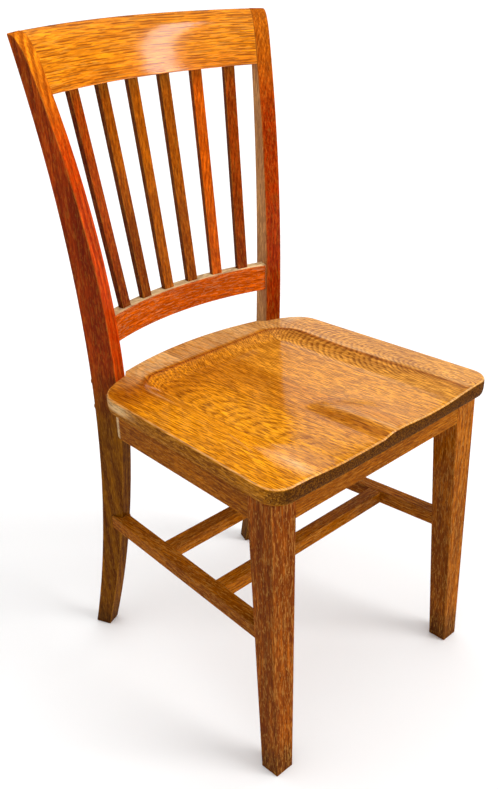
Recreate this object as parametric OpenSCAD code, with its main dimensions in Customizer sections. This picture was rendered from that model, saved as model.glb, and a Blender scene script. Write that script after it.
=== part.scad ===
// Oak side chair: solid saddle seat, curved slatted back, tapered front legs,
// back posts that run from the floor to the crest rail, and an H of stretchers.
// Millimetres, +Z up, the sitter faces -Y. The origin is on the floor, at the
// centre of the footprint.

/* [Seat] */
// Height of the seat's rim above the floor
seat_h = 450; // [430:1:470]
// Thickness of the seat boards
seat_t = 24; // [20:1:28]
// Half width of the seat at its front corners
seat_half_w = 208; // [200:1:215]
// How much narrower each side gets towards the back, in mm per mm
seat_taper = 0.05; // [0.03:0.01:0.07]
// Distance from the centre of the footprint to the seat's front edge
seat_front = 239; // [233:1:245]
// Radius of the seat's front corners
seat_front_r = 28; // [20:1:34]
// Radius of the seat's rear corners
seat_rear_r = 42; // [34:1:46]
// Depth of the saddle's bowl below the rim
bowl_depth = 8; // [5:0.5:10]
// Depth of the two thigh grooves at the front edge
groove_depth = 5; // [3:0.5:7]

/* [Front legs] */
// Distance from the centre of the footprint to the front legs' front face
leg_front = 214; // [210:1:217]
// Half distance over the outer faces of the front legs
leg_half_w = 198; // [192:1:200]
// Width of a front leg at the top
leg_top = 40; // [36:1:44]
// Width of a front leg at the floor
leg_foot = 29; // [25:1:34]

/* [Back posts] */
// Overall height of the chair
post_h = 887; // [875:1:895]
// Thickness of a post across its sawn profile
post_w = 23; // [22:0.5:26]
// Turn of the posts in plan, so that they face the sitter
post_turn = 21.3; // [20:0.1:22]
// Outward lean of the posts
post_lean = 2.56; // [2:0.02:3]
// Half distance between the posts' outer front corners at seat height
post_half_x = 155.5; // [153:0.5:158]
// Position of those corners behind the centre of the footprint
post_y = 123; // [121:1:125]
// Depth of a post at its waist, level with the seat
post_waist = 39.9; // [38:0.1:42]
// Radius of the posts' front edge above the seat
post_front_r = 1350; // [1250:10:1500]
// Radius of the posts' back edge below the seat
post_heel_r = 1820; // [1760:10:1900]
// Radius of the posts' back edge above the seat
post_back_r = 2040; // [1960:10:2120]

/* [Aprons] */
// Height of the aprons
apron_h = 38; // [34:1:42]
// Thickness of the front and rear aprons
apron_t = 20; // [18:1:24]
// Thickness of the side aprons
side_apron_t = 22; // [20:1:26]
// How far the side aprons stand in from the edge of the seat
apron_inset = 9.5; // [8:0.5:12]

/* [Stretchers] */
// Height of the stretchers' underside above the floor
stretcher_z = 202; // [190:1:215]
// Height of a stretcher's section
stretcher_h = 20; // [18:1:24]
// Width of a stretcher's section
stretcher_w = 21.5; // [18:0.5:24]
// Half distance over the side stretchers at the front legs' front face
stretcher_half_x = 191.5; // [189:0.5:193]
// Convergence of the side stretchers towards the back, in degrees
stretcher_turn = 4.6; // [4:0.1:5]
// Centre of the front cross stretcher, ahead of the footprint's centre
cross_front_y = 74; // [63:1:93]
// Centre of the rear cross stretcher, behind the footprint's centre
cross_rear_y = 44; // [37:1:67]

/* [Back rails and slats] */
// Half angle of the back's curve in plan, from the middle to a post
back_turn = 20.3; // [19.8:0.1:20.8]
// Underside of the lower back rail above the floor
rail_z = 498.5; // [494:0.5:504]
// Height of the lower back rail
rail_h = 38.5; // [34:0.5:42]
// Thickness of the lower back rail
rail_t = 18.5; // [17:0.5:20]
// Underside of the crest rail above the floor
crest_z = 816.5; // [810:0.5:822]
// Angle between neighbouring slats on the back's curve
slat_pitch = 6.1; // [5.8:0.05:6.4]
// Width of a slat
slat_w = 16.5; // [15:0.5:18]
// Thickness of a slat
slat_t = 8.5; // [7.5:0.5:9]

/* [Joints and fasteners] */
// Length of the tenons of aprons and stretchers
tenon_l = 16; // [12:1:18]
// Play around every tenon
play = 0.15; // [0.1:0.05:0.3]
// Diameter of the screw shanks
screw_d = 4.5; // [4:0.5:5]
// Diameter of the wooden buttons that cover the post screws
button_d = 12; // [10:1:14]

/* [Hidden] */
$fn = 64;
far = 600;

// Heights and faces that follow from the sizes above
seat_under = seat_h - seat_t;
apron_z = seat_under - apron_h;
leg_back = -leg_front + leg_top;

// Working points of the post's outline: the front edge is straight between the
// apron's underside and the seat, and the tip rolls back above tip_z
joint_low_z = 385;
joint_step = 1;
heel_slope = 0.072;
heel_r = 1740;
tip_z = 845;
tip_lead = 12;
tip_edge = 1.5;

// How far the crest's and the lower rail's faces stand behind the posts' faces
crest_u = 0.5;
rail_u = 5;

// The slats: their number, how deep they are let into the rails, the gap left
// beyond their ends, and how far their faces stand behind the crest's face
slat_n = 6;
slat_in = 9;
slat_gap = 0.5;
slat_behind = 2;

// Board edges of the seat, from left to right
board_x = [-far, -122, -48, 25, 110, far];

// Tenons: how far every tenon reaches back into its own part, and by how much
// the tools that cut an open face overshoot it
tenon_root = 4;
over = 1;

// Screws and their covers
button_bore = 6;
button_dome = 5.5;
post_screw_z = [seat_h - 48, seat_h - 9];
screw_head_d = 9;
screw_head_h = 4;

WOOD = "peru";
DARK = "sienna";
STEEL = "lightsteelblue";

// ---------- helpers ----------

// Copies its children to the left side of the chair
module other_side() {
    mirror([1, 0, 0]) children();
}

// side is 1 for the right half of the chair and -1 for the left half
module on_side(side) {
    if (side > 0) children();
    else other_side() children();
}

// Drop of a circle of radius r at a distance d from its top
function sag(r, d) = r - sqrt(r * r - d * d);

// ---------- the post's outline and its frame ----------

// Front edge of a post, as the depth behind its bearing face at height z
function front_u(z) =
    z < joint_low_z
        ? joint_step + heel_slope * (joint_low_z - z) + sag(heel_r, joint_low_z - z)
        : sag(post_front_r, max(0, z - seat_h));

// Back edge of a post at height z
function back_u(z) =
    post_waist + sag(z < seat_h ? post_heel_r : post_back_r, z - seat_h);

// Rolled tip: a quadratic curve from the front edge over to the top of the post,
// which starts further back where set is the crest's setback
function tip_point(t, set) =
    let (a = [front_u(tip_z) + set, tip_z],
         b = [front_u(tip_z) + tip_lead + set, post_h],
         c = [back_u(post_h) - tip_edge, post_h])
    (1 - t) * (1 - t) * a + 2 * t * (1 - t) * b + t * t * c;
function tip_curve(set = 0) = [for (t = [0 : 0.125 : 1]) tip_point(t, set)];

outline_step = 32;
post_outline = concat(
    [for (z = [-10 : outline_step : joint_low_z - 5]) [front_u(z), z]],
    [[joint_step, joint_low_z], [0, joint_low_z + joint_step]],
    [for (z = [seat_h : outline_step : tip_z - 5]) [front_u(z), z]],
    tip_curve(),
    [for (z = [post_h - tip_edge : -outline_step : 0]) [back_u(z), z]],
    [[back_u(-10), -10]]);

// Frame of the right post: +Y is its depth, -X points to the chair's middle,
// and X = 0 is its outer face
module post_frame() {
    translate([post_half_x, post_y, seat_h])
        rotate([0, 0, -post_turn])
            rotate([0, post_lean, 0])
                translate([0, 0, -seat_h])
                    children();
}

// Extrudes an outline of depth and height across part of the post's width
module across_post(x0, x1) {
    translate([x0, 0, 0])
        rotate([90, 0, 90])
            linear_extrude(x1 - x0)
                children();
}

module post_blank() {
    difference() {
        post_frame() across_post(-post_w, 0) polygon(post_outline);
        translate([-far / 2, -far / 2, -100]) cube([far, far, 100]);
    }
}

// Everything outboard of the post's inner face
module outboard() {
    post_frame() translate([-post_w, -far, -100]) cube([far, 2 * far, 2 * far]);
}

// ---------- the back's curve ----------

// Inner face of the right post at height z: its distance from the middle
function inner_x(z) =
    post_half_x - (post_w - (z - seat_h) * tan(post_lean)) * cos(post_turn);
function inner_y(z) =
    post_y + (post_w - (z - seat_h) * tan(post_lean)) * sin(post_turn);

// The rails are arcs that end at the posts' inner faces
function arc_r(z) = inner_x(z) / sin(back_turn);
function arc_y(z) = inner_y(z) - arc_r(z) * cos(back_turn);
function on_arc(z, u, a) =
    [(arc_r(z) + u) * sin(a), arc_y(z) + (arc_r(z) + u) * cos(a), z];

// Sweeps a section of radius and height along the arc of height z
module arc_sweep(z) {
    half = back_turn + 4;
    translate([0, arc_y(z), 0])
        rotate([0, 0, 90 - half])
            rotate_extrude(angle = 2 * half, $fn = 180)
                children();
}

crest_mid_z = (crest_z + post_h) / 2;
rail_mid_z = rail_z + rail_h / 2;
slat_head_u = front_u(crest_z) + crest_u + slat_behind + slat_t / 2;

function slat_angle(i) = slat_pitch * (i - (slat_n + 1) / 2);
function slat_foot(i) = let (p = on_arc(rail_mid_z, rail_u + rail_t / 2, slat_angle(i)))
    [p[0], p[1], rail_z + rail_h];
function slat_head(i) = let (p = on_arc(crest_mid_z, slat_head_u, slat_angle(i)))
    [p[0], p[1], crest_z];

// One slat with a margin all round; its ends are let into the rails
module slat_bar(i, margin = 0, extra = 0) {
    d = slat_head(i) - slat_foot(i);
    run = norm([d[0], d[1]]);
    aim = atan2(d[1], d[0]);
    reach = slat_in + extra;
    translate(slat_foot(i))
        rotate([0, 0, aim])
            rotate([0, atan2(run, d[2]), 0])
                rotate([0, 0, -aim - slat_angle(i)])
                    translate([-slat_w / 2 - margin, -slat_t / 2 - margin, -reach])
                        cube([slat_w + 2 * margin, slat_t + 2 * margin, norm(d) + 2 * reach]);
}

// ---------- tenons of the back rails ----------

rail_tenon_l = 14;
rail_tenon_t = 8;
rail_tenon_root = 12;
rail_shoulder_u = 5;
rail_shoulder_z = 6;
crest_tenon_low = crest_z + 12;
crest_tenon_h = 36;

module crest_tenon(margin = 0) {
    z0 = crest_tenon_low - margin;
    z1 = crest_tenon_low + crest_tenon_h + margin;
    half = rail_tenon_t / 2 + margin;
    function mid(z) = (front_u(z) + back_u(z)) / 2;
    across_post(-post_w - rail_tenon_root, -post_w + rail_tenon_l + margin)
        polygon([[mid(z0) - half, z0], [mid(z0) + half, z0],
                 [mid(z1) + half, z1], [mid(z1) - half, z1]]);
}

module rail_tenon(margin = 0) {
    across_post(-post_w - rail_tenon_root, -post_w + rail_tenon_l + margin)
        translate([rail_u + rail_shoulder_u - margin, rail_z + rail_shoulder_z - margin])
            square([rail_tenon_t + 2 * margin, rail_h - 2 * rail_shoulder_z + 2 * margin]);
}

// ---------- stretchers ----------

// Frame of the right side stretcher: +Y runs back along its outer face
module stretcher_frame() {
    translate([stretcher_half_x, -leg_front, stretcher_z])
        rotate([0, 0, stretcher_turn])
            children();
}

// Inner face of the side stretcher at a place y
function stretcher_inner(y) =
    stretcher_half_x - tan(stretcher_turn) * (y + leg_front) - stretcher_w / cos(stretcher_turn);

// Width of the tapered leg at height z
function leg_at(z) = leg_foot + (leg_top - leg_foot) * min(1, z / apron_z);

// Stretcher tenons: their width, the shoulder above and below them, and how far
// the stretcher's shoulder stands clear of the leg's slanting face
bar_tenon_w = 10;
bar_shoulder = 4;
bar_tenon_h = stretcher_h - 2 * bar_shoulder;
leg_clearance = 0.6;
stretcher_start = leg_at(stretcher_z) + leg_clearance;

// The front tenon of the side stretcher, in the stretcher's frame
module stretcher_tenon(margin = 0) {
    x = (stretcher_w + bar_tenon_w) / 2;
    translate([-x - margin, stretcher_start - tenon_l - margin, bar_shoulder - margin])
        cube([bar_tenon_w + 2 * margin, tenon_l + margin + tenon_root, bar_tenon_h + 2 * margin]);
}

// The rear tenon of the side stretcher, in the post's frame, a little inboard
// of the post's middle
heel_tenon_l = 14;
heel_root = 6;
heel_inboard = 1;

module heel_tenon(margin = 0) {
    x = (post_w + bar_tenon_w) / 2 + heel_inboard;
    z = stretcher_z + bar_shoulder - margin;
    translate([-x - margin, front_u(z) - heel_root, z])
        cube([bar_tenon_w + 2 * margin, heel_root + heel_tenon_l + margin, bar_tenon_h + 2 * margin]);
}

// Both tenons of a cross stretcher, in one bar
cross_tenon_l = 12;

module cross_tenons(y, margin = 0) {
    half = stretcher_inner(y) + cross_tenon_l + margin;
    translate([-half, y - bar_tenon_w / 2 - margin, stretcher_z + bar_shoulder - margin])
        cube([2 * half, bar_tenon_w + 2 * margin, bar_tenon_h + 2 * margin]);
}

// ---------- the frame under the seat ----------

// Width of the side apron's outer face at a place y
function side_x(y) = seat_half_w - seat_taper * (y + leg_front);
function apron_x(y) = side_x(y) - apron_inset;
function apron_inner_x(y) = apron_x(y) - side_apron_t;

// How far the front apron's face stands behind the legs' faces
apron_set = 0.5;
apron_back_y = -leg_front + apron_set + apron_t;

// Outer corner arc in plan: from the side line round to the post's bearing face
function corner_arc(x, y, r, from, to, n) = [
    for (i = [0 : n])
        let (a = from + (to - from) * i / n)
        [x + r * cos(a), y + r * sin(a)],
];

// Bearing face of the post in plan, at a distance w in from its outer corner
function bearing(w) = [post_half_x - w * cos(post_turn), post_y + w * sin(post_turn)];

// The rear corners of the seat and of the side aprons share a centre in y
corner_gap = 1.5;
rear_corner_y = bearing(0)[1] - seat_rear_r - corner_gap;
apron_corner_r = seat_rear_r - apron_inset;

// The side apron ends on a slanting line to the post's bearing face
apron_heel_run = 22;
apron_heel_w = -6;
side_apron_heel = [apron_inner_x(rear_corner_y), rear_corner_y + apron_heel_run];
side_apron_outline = concat(
    [[apron_inner_x(leg_back), leg_back], [apron_x(leg_back), leg_back]],
    corner_arc(apron_x(rear_corner_y) - apron_corner_r, rear_corner_y, apron_corner_r, 2, 62, 8),
    [bearing(apron_heel_w), side_apron_heel]);

// Apron tenons: their thickness on the side and front aprons, their height and
// the shoulder below them, and the wood before the front apron's tenons
side_tenon_t = 10;
front_tenon_t = 8;
apron_tenon_h = apron_h - 12;
apron_shoulder = 5;
front_tenon_set = 6;

module side_apron_tenon(margin = 0) {
    x = apron_x(leg_back) - (side_apron_t + side_tenon_t) / 2;
    translate([x - margin, leg_back - tenon_l - margin, apron_z + apron_shoulder - margin])
        cube([side_tenon_t + 2 * margin, tenon_l + margin + tenon_root, apron_tenon_h + 2 * margin]);
}

module front_apron_tenons(margin = 0) {
    half = leg_half_w - leg_top + tenon_l + margin;
    translate([-half, -leg_front + front_tenon_set - margin, apron_z + apron_shoulder - margin])
        cube([2 * half, front_tenon_t + 2 * margin, apron_tenon_h + 2 * margin]);
}

// ---------- fasteners ----------

post_screw_l = 62;
screw_w = post_w / 2 - 3;
head_well = 8;

// A post screw runs from the post's back face through its bearing face
module post_screw_axis(z) {
    post_frame()
        translate([-screw_w, back_u(z), z])
            rotate([90, 0, 0])
                children();
}

// A screw from its head on, or with a margin the hole that takes it, which has
// a well behind the head
module screw(l, margin = 0) {
    well = margin > 0 ? head_well : 0;
    cylinder(r = screw_d / 2 + margin, h = l + margin);
    translate([0, 0, -well])
        cylinder(r = screw_head_d / 2 + margin, h = screw_head_h + margin + well);
}

module post_screw_space() {
    for (z = post_screw_z) {
        post_screw_axis(z) {
            translate([0, 0, button_bore]) screw(post_screw_l, play);
        }
    }
}

// ---------- sub-parts ----------

module front_leg() {
    x0 = leg_half_w - leg_top;
    step = leg_top - leg_foot;
    color(WOOD)
        difference() {
            translate([x0, -leg_front, 0]) cube([leg_top, leg_top, seat_under]);
            // inner faces taper from the apron to the floor
            translate([x0, 0, 0])
                rotate([90, 0, 0])
                    translate([0, 0, leg_front - leg_top - over])
                        linear_extrude(leg_top + 2 * over)
                            polygon([[-over, -over], [step, -over], [step, 0],
                                     [0, apron_z], [-over, apron_z]]);
            translate([x0 - over, leg_back, 0])
                rotate([90, 0, 90])
                    linear_extrude(leg_top + 2 * over)
                        polygon([[over, -over], [-step, -over], [-step, 0],
                                 [0, apron_z], [over, apron_z]]);
            front_apron_tenons(play);
            side_apron_tenon(play);
            stretcher_frame() stretcher_tenon(play);
            block_screw_at(play);
        }
}

module back_post() {
    color(DARK)
        difference() {
            post_blank();
            post_frame() {
                crest_tenon(play);
                rail_tenon(play);
                heel_tenon(play);
            }
            post_screw_space();
        }
}

module front_apron() {
    half = leg_half_w - leg_top;
    color(WOOD) {
        translate([-half, -leg_front + apron_set, apron_z]) cube([2 * half, apron_t, apron_h]);
        front_apron_tenons();
    }
}

// The rear apron's middle stands ahead of the posts by this much
rear_apron_set = 34;

module rear_apron() {
    color(WOOD)
        translate([-rear_block_x, post_y - rear_apron_set - apron_t / 2, apron_z])
            cube([2 * rear_block_x, apron_t, apron_h]);
}

module side_apron() {
    color(WOOD) {
        translate([0, 0, apron_z]) linear_extrude(apron_h) polygon(side_apron_outline);
        side_apron_tenon();
    }
}

// Rear corner block: fills the corner between the side apron, the rear apron
// and the post's bearing face
block_rise = 4;
block_z = apron_z + block_rise;
block_h = apron_h - block_rise;
block_bevel = 16;
rear_block_x = bearing(post_w)[0] - 2;
rear_block_y = post_y - 62;

module rear_corner_block() {
    color(WOOD)
        difference() {
            translate([0, 0, block_z])
                linear_extrude(block_h)
                    polygon([
                        [rear_block_x, rear_block_y + block_bevel],
                        [rear_block_x + block_bevel, rear_block_y],
                        [apron_inner_x(rear_block_y), rear_block_y],
                        side_apron_heel,
                        bearing(apron_heel_w),
                        bearing(post_w),
                        [rear_block_x, bearing(post_w)[1]],
                    ]);
            post_screw_space();
            seat_screw_at(rear_seat_screw, play);
        }
}

// Front corner block: in the corner behind the leg, with its free face at 45 degrees
front_block_run = 42;
front_block_y = apron_back_y;
front_block_x = leg_half_w - leg_top - front_block_run;
front_block_side = apron_inner_x(leg_back + 36);
front_block_end = front_block_side - front_block_x + front_block_y;

module front_corner_block() {
    color(WOOD)
        difference() {
            translate([0, 0, block_z])
                linear_extrude(block_h)
                    polygon([
                        [front_block_x, front_block_y],
                        [leg_half_w - leg_top, front_block_y],
                        [leg_half_w - leg_top, leg_back],
                        [apron_inner_x(leg_back), leg_back],
                        [front_block_side, front_block_end],
                    ]);
            block_screw_at(play);
            seat_screw_at(front_seat_screw, play);
        }
}

// Screw through the front corner block's free face into the corner of the leg
block_screw_run = (front_block_run - leg_back + front_block_y) / 2;
block_screw_z = block_z + 12;
block_screw_l = 40;

module block_screw_at(margin = 0) {
    translate([leg_half_w - leg_top - block_screw_run, leg_back + block_screw_run, block_screw_z])
        rotate([0, 90, -45])
            screw(block_screw_l, margin);
}

// Screws that hold the seat down, through the blocks from below
rear_seat_screw = [148, post_y - 46];
front_seat_screw = [leg_half_w - leg_top + 6, leg_back + 11];
seat_screw_l = block_h + 12;

module seat_screw_at(place, margin = 0) {
    translate([place[0], place[1], block_z]) screw(seat_screw_l, margin);
}

// The side stretcher is cut off at the post; its outer lip ends a little way
// along the post's side
stretcher_l = 350;
stretcher_lip = 13;

module side_stretcher() {
    color(WOOD) {
        difference() {
            stretcher_frame()
                translate([-stretcher_w, stretcher_start, 0])
                    cube([stretcher_w, stretcher_l, stretcher_h]);
            post_blank();
            post_frame()
                translate([-far / 2, front_u(stretcher_z) + stretcher_lip, 0])
                    cube([far, far, far]);
            cross_tenons(-cross_front_y, play);
            cross_tenons(cross_rear_y, play);
        }
        stretcher_frame() stretcher_tenon();
        post_frame() heel_tenon();
    }
}

// A cross stretcher stands in a little from the side stretchers' faces
cross_set = 0.5;

module cross_stretcher(y) {
    color(WOOD) {
        difference() {
            translate([-far / 2, y - stretcher_w / 2, stretcher_z + cross_set])
                cube([far, stretcher_w, stretcher_h - 2 * cross_set]);
            for (s = [-1, 1])
                on_side(s) stretcher_frame()
                    translate([-stretcher_w, 0, -over]) cube([far, far, stretcher_h + 2 * over]);
        }
        cross_tenons(y);
    }
}

module lower_back_rail() {
    color(DARK) {
        difference() {
            arc_sweep(rail_mid_z)
                translate([arc_r(rail_mid_z) + rail_u, rail_z]) square([rail_t, rail_h]);
            for (s = [-1, 1]) on_side(s) outboard();
            for (i = [1 : slat_n]) slat_bar(i, play, slat_gap);
        }
        for (s = [-1, 1]) on_side(s) post_frame() rail_tenon();
    }
}

// The crest's section: its front edge, the rolled tip and its back edge
crest_step = 9;
crest_section = concat(
    [for (z = [crest_z : crest_step : tip_z - 1]) [front_u(z) + crest_u, z]],
    tip_curve(crest_u),
    [for (z = [post_h - tip_edge : -crest_step : crest_z + 6]) [back_u(z), z]],
    [[back_u(crest_z), crest_z]]);

module crest_rail() {
    color(DARK) {
        difference() {
            arc_sweep(crest_mid_z)
                translate([arc_r(crest_mid_z), 0]) polygon(crest_section);
            for (s = [-1, 1]) on_side(s) outboard();
            for (i = [1 : slat_n]) slat_bar(i, play, slat_gap);
        }
        for (s = [-1, 1]) on_side(s) post_frame() crest_tenon();
    }
}

module slat(i) {
    color(DARK) slat_bar(i);
}

// ---------- the seat ----------

// Radius of the arc over a half chord with a given rise
function arc_over(half, rise) = (half * half + rise * rise) / (2 * rise);

// The back edge is an arc between the posts
seat_back_y = post_y + 38.5;
back_arc_half = 124;
back_arc_rise = seat_back_y - bearing(post_w)[1] - 13;
back_arc_r = arc_over(back_arc_half, back_arc_rise);
back_arc_a = asin(back_arc_half / back_arc_r);

// The front edge rises by this much at this distance from the middle
front_rise = 4;
front_run = 170;

// Right half of the seat's outline, from the middle of the front edge to the
// middle of the back edge
half_outline = concat(
    [for (x = [0 : 42 : 168])
        [x, -seat_front + front_rise * x * x / (front_run * front_run)]],
    corner_arc(side_x(-seat_front) - seat_front_r - 2, -seat_front + front_rise + seat_front_r,
               seat_front_r, -84, -4, 8),
    corner_arc(side_x(rear_corner_y) - seat_rear_r, rear_corner_y, seat_rear_r, 3, 60, 8),
    [bearing(-2), bearing(post_w)],
    [for (i = [5 : -1 : 0]) let (a = back_arc_a * i / 5)
        [back_arc_r * sin(a), seat_back_y - back_arc_r * (1 - cos(a))]]);

module seat_outline() {
    n = len(half_outline);
    polygon(concat(half_outline,
        [for (i = [n - 2 : -1 : 1]) [-half_outline[i][0], half_outline[i][1]]]));
}

// The saddle: a shallow bowl and two thigh grooves that run out at the front
bowl_y = 7;
bowl_half = 128;
groove_x = 76;
groove_half = 70;
groove_fade = 1.3;
groove_start = 20;
groove_l = 300;

module saddle() {
    bowl_r = arc_over(bowl_half, bowl_depth);
    groove_r = arc_over(groove_half, groove_depth);
    translate([0, bowl_y, seat_h + bowl_r - bowl_depth]) sphere(r = bowl_r, $fn = 128);
    for (s = [-1, 1])
        translate([s * groove_x, -seat_front, seat_h + groove_r - groove_depth])
            rotate([-90 + groove_fade, 0, 0])
                translate([0, 0, -groove_start])
                    cylinder(r = groove_r, h = groove_l, $fn = 128);
}

module seat_board(i) {
    color(WOOD)
        difference() {
            translate([0, 0, seat_under])
                linear_extrude(seat_t)
                    intersection() {
                        seat_outline();
                        translate([board_x[i - 1], -far])
                            square([board_x[i] - board_x[i - 1], 2 * far]);
                    }
            saddle();
            for (s = [-1, 1]) {
                on_side(s) post_screw_space();
                on_side(s) seat_screw_at(rear_seat_screw, play);
                on_side(s) seat_screw_at(front_seat_screw, play);
            }
        }
}

// ---------- fastener groups ----------

module post_screws() {
    color(STEEL)
        for (s = [-1, 1])
            on_side(s)
                for (z = post_screw_z)
                    post_screw_axis(z) translate([0, 0, button_bore]) screw(post_screw_l);
}

// A button is a plug in the screw's well under a domed cap, which stands clear
// of the post's curved face
plug_d = screw_head_d - 1;
plug_out = 0.5;
cap_edge = 0.4;

module post_screw_buttons() {
    dome_r = arc_over(button_d / 2, button_dome);
    color(DARK)
        for (s = [-1, 1])
            on_side(s)
                for (z = post_screw_z)
                    post_screw_axis(z) {
                        translate([0, 0, -plug_out]) cylinder(d = plug_d, h = button_bore);
                        intersection() {
                            translate([0, 0, dome_r - button_dome]) sphere(r = dome_r);
                            translate([-far / 2, -far / 2, -button_dome - over])
                                cube([far, far, button_dome + over - cap_edge]);
                        }
                    }
}

module corner_block_screws() {
    color(STEEL)
        for (s = [-1, 1])
            on_side(s) block_screw_at();
}

module seat_screws() {
    color(STEEL)
        for (s = [-1, 1])
            on_side(s) {
                seat_screw_at(rear_seat_screw);
                seat_screw_at(front_seat_screw);
            }
}

seat_board(1);  // seat_board_1
seat_board(2);  // seat_board_2
seat_board(3);  // seat_board_3
seat_board(4);  // seat_board_4
seat_board(5);  // seat_board_5
other_side() front_leg();  // front_leg_left
front_leg();  // front_leg_right
other_side() back_post();  // back_post_left
back_post();  // back_post_right
front_apron();
rear_apron();
other_side() side_apron();  // side_apron_left
side_apron();  // side_apron_right
other_side() front_corner_block();  // front_corner_block_left
front_corner_block();  // front_corner_block_right
other_side() rear_corner_block();  // rear_corner_block_left
rear_corner_block();  // rear_corner_block_right
other_side() side_stretcher();  // side_stretcher_left
side_stretcher();  // side_stretcher_right
cross_stretcher(-cross_front_y);  // front_cross_stretcher
cross_stretcher(cross_rear_y);  // rear_cross_stretcher
lower_back_rail();
crest_rail();
slat(1);  // slat_1
slat(2);  // slat_2
slat(3);  // slat_3
slat(4);  // slat_4
slat(5);  // slat_5
slat(6);  // slat_6
post_screws();
post_screw_buttons();
corner_block_screws();
seat_screws();
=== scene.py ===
"""Golden oak side chair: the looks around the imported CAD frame.

Metres, the CAD's own frame: +Z up, the sitter faces -Y, the origin on the floor.
"""
import math

import bmesh
import bpy
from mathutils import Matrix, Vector
from mathutils.geometry import delaunay_2d_cdt


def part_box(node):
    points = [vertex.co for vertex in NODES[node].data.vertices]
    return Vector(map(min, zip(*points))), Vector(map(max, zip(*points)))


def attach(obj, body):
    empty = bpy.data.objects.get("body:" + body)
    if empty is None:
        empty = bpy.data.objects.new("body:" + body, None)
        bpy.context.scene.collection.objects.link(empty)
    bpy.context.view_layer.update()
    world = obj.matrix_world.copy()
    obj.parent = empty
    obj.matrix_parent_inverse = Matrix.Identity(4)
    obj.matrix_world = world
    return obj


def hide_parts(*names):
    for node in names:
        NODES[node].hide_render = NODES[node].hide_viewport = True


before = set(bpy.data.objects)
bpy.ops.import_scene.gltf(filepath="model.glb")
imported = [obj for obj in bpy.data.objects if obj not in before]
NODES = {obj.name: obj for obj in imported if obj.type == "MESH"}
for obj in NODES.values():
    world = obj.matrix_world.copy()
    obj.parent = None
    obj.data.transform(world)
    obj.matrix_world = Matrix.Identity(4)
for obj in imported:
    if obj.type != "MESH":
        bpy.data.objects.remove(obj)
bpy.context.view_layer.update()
MM = 0.001


def box_mm(name):
    """Lowest and highest corner of a CAD node, in mm."""
    return [[round(v / MM, 3) for v in corner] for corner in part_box(name)]


# ---------------------------------------------------------------- node graphs

def node(tree, kind, **values):
    n = tree.nodes.new(kind)
    for key, value in values.items():
        setattr(n, key, value)
    return n


class Graph:
    """Short calls for the node graph of a material or a world."""

    def __init__(self, owner):
        owner.use_nodes = True
        self.mat = owner
        self.tree = owner.node_tree
        self.shader = self.tree.nodes.get("Principled BSDF")

    def put(self, socket, value):
        if isinstance(value, bpy.types.NodeSocket):
            self.tree.links.new(value, socket)
        else:
            socket.default_value = value

    def math(self, op, a, b=0.0, c=0.0):
        n = node(self.tree, "ShaderNodeMath", operation=op)
        for i, v in enumerate((a, b, c)):
            self.put(n.inputs[i], v)
        return n.outputs[0]

    def times(self, a, b):
        return self.math("MULTIPLY", a, b)

    def ramp(self, value, lo, hi, out_lo=0.0, out_hi=1.0):
        n = node(self.tree, "ShaderNodeMapRange", interpolation_type="SMOOTHSTEP")
        for i, v in enumerate((value, lo, hi, out_lo, out_hi)):
            self.put(n.inputs[i], v)
        return n.outputs[0]

    def mix(self, factor, a, b, blend="MIX"):
        n = node(self.tree, "ShaderNodeMix", data_type="RGBA", blend_type=blend)
        self.put(n.inputs[0], factor)
        self.put(n.inputs[6], a)
        self.put(n.inputs[7], b)
        return n.outputs[2]

    def shaded(self, a, b):
        return self.mix(1.0, a, b, "MULTIPLY")

    def noise(self, vector, scale, detail=3.0, rough=0.55, distortion=0.0):
        n = node(self.tree, "ShaderNodeTexNoise", noise_dimensions="3D")
        values = {"Vector": vector, "Scale": scale, "Detail": detail, "Roughness": rough,
                  "Distortion": distortion}
        for key, value in values.items():
            self.put(n.inputs[key], value)
        return n.outputs[0]

    def facing(self, normal, direction):
        n = node(self.tree, "ShaderNodeVectorMath", operation="DOT_PRODUCT")
        self.put(n.inputs[0], normal)
        self.put(n.inputs[1], direction)
        return n.outputs["Value"]

    def split(self, vector):
        n = node(self.tree, "ShaderNodeSeparateXYZ")
        self.put(n.inputs[0], vector)
        return n.outputs

    def bump(self, height, strength, distance, target):
        n = node(self.tree, "ShaderNodeBump")
        values = {"Height": height, "Strength": strength, "Distance": distance}
        for key, value in values.items():
            self.put(n.inputs[key], value)
        self.put(self.shader.inputs[target], n.outputs[0])

    def stretch(self, vector, scale, offset=(0, 0, 0), turn=(0, 0, 0)):
        n = node(self.tree, "ShaderNodeMapping")
        values = {"Vector": vector, "Location": offset, "Rotation": turn, "Scale": scale}
        for key, value in values.items():
            self.put(n.inputs[key], value)
        return n.outputs[0]


def rgb(r, g, b):
    return (r, g, b, 1.0)


def shade(k, k_green=None):
    """A factor for a tone, redder where green and blue fall by more."""
    kg = k if k_green is None else k_green
    return (k, kg, kg, 1.0)


# ---------------------------------------------------------------- camera

CAMERA_AT = (-0.8310, -0.8694, 1.0198)
CAMERA_AZIMUTH = math.radians(-46.76)
CAMERA_ELEVATION = math.radians(27.76)
CAMERA_LENS = 70.08
CAMERA_SENSOR = 36.0
CAMERA_SHIFT = (-0.1211, 0.0381)
CAMERA_CLIP = (0.05, 60.0)


def make_camera():
    data = bpy.data.cameras.new("camera")
    data.sensor_fit = "HORIZONTAL"
    data.sensor_width = CAMERA_SENSOR
    data.lens = CAMERA_LENS
    data.shift_x, data.shift_y = CAMERA_SHIFT
    data.clip_start, data.clip_end = CAMERA_CLIP
    cam = bpy.data.objects.new("camera", data)
    cam.location = CAMERA_AT
    cam.rotation_euler = (math.pi / 2 - CAMERA_ELEVATION, 0.0, CAMERA_AZIMUTH)
    bpy.context.scene.collection.objects.link(cam)
    bpy.context.scene.camera = cam


# ---------------------------------------------------------------- stage

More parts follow.
